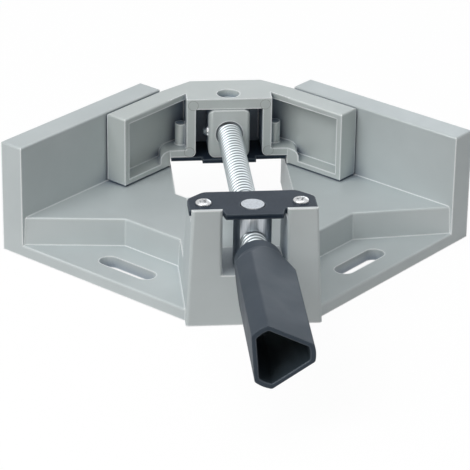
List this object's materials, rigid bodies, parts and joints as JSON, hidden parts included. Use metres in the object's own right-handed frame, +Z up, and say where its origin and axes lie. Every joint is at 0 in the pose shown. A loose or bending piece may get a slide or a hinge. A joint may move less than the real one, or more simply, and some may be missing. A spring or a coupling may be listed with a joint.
{
  "type": "corner clamp",
  "caption": "Right-angle corner clamp: cast base with two fences at 90 degrees, a V jaw driven by a screw with a black grip, a swivelling nut and slanted bench slots.",
  "frame": {"origin": "the swivel nut's vertical axis, on the plane the base stands on", "axes": "+X right, seen from the handle; +Y along the screw from the handle to the corner; +Z up"},
  "size_m": [0.22, 0.256, 0.055],
  "materials": {
    "base_metal": "satin silver-grey coat on a die casting",
    "jaw_metal": "satin silver-grey coat on a die casting",
    "block_metal": "satin, as cast and tumbled",
    "black_plate": "satin black-blue",
    "bright_steel": "turned and bright plated",
    "zinc_steel": "bright zinc, rolled thread",
    "bright_screws": "bright zinc",
    "grip_plastic": "matte moulded, dark blue-grey"
  },
  "bodies": {
    "base": {"base_casting": "base_metal", "nut_plate": "black_plate", "nut_plate_screw_left": "bright_screws", "nut_plate_screw_right": "bright_screws"},
    "nut": {"swivel_nut": "bright_steel"},
    "block": {"pivot_block": "block_metal", "block_pin": "bright_steel"},
    "screw": {"clamp_screw": "zinc_steel", "handle_grip": "grip_plastic"},
    "jaw": {"jaw_casting": "jaw_metal", "jaw_bottom_plate": "black_plate", "jaw_plate_screw_left": "bright_screws", "jaw_plate_screw_right": "bright_screws"}
  },
  "joints": [
    {"name": "nut_swivel", "type": "hinge", "parent": "base", "child": "nut", "pos_m": [0, 0, 0.0367], "axis": [0, 0, 1], "range_deg": [-0.5, 0.5]},
    {"name": "screw_travel", "type": "slide", "parent": "nut", "child": "block", "axis": [0, -1, 0], "range_m": [0, 0.096]},
    {"name": "screw_turn", "type": "hinge", "parent": "block", "child": "screw", "pos_m": [0, 0.12351, 0.0367], "axis": [0, -1, 0], "range_deg": [0, 11532]},
    {"name": "jaw_swivel", "type": "hinge", "parent": "block", "child": "jaw", "pos_m": [0, 0.12351, 0.0367], "axis": [0, 0, 1], "range_deg": [-0.5, 0.5]}
  ],
  "couplings": [
    {"joint": "screw_turn", "follows": "screw_travel", "rad_per_m": 2094.4}
  ]
}
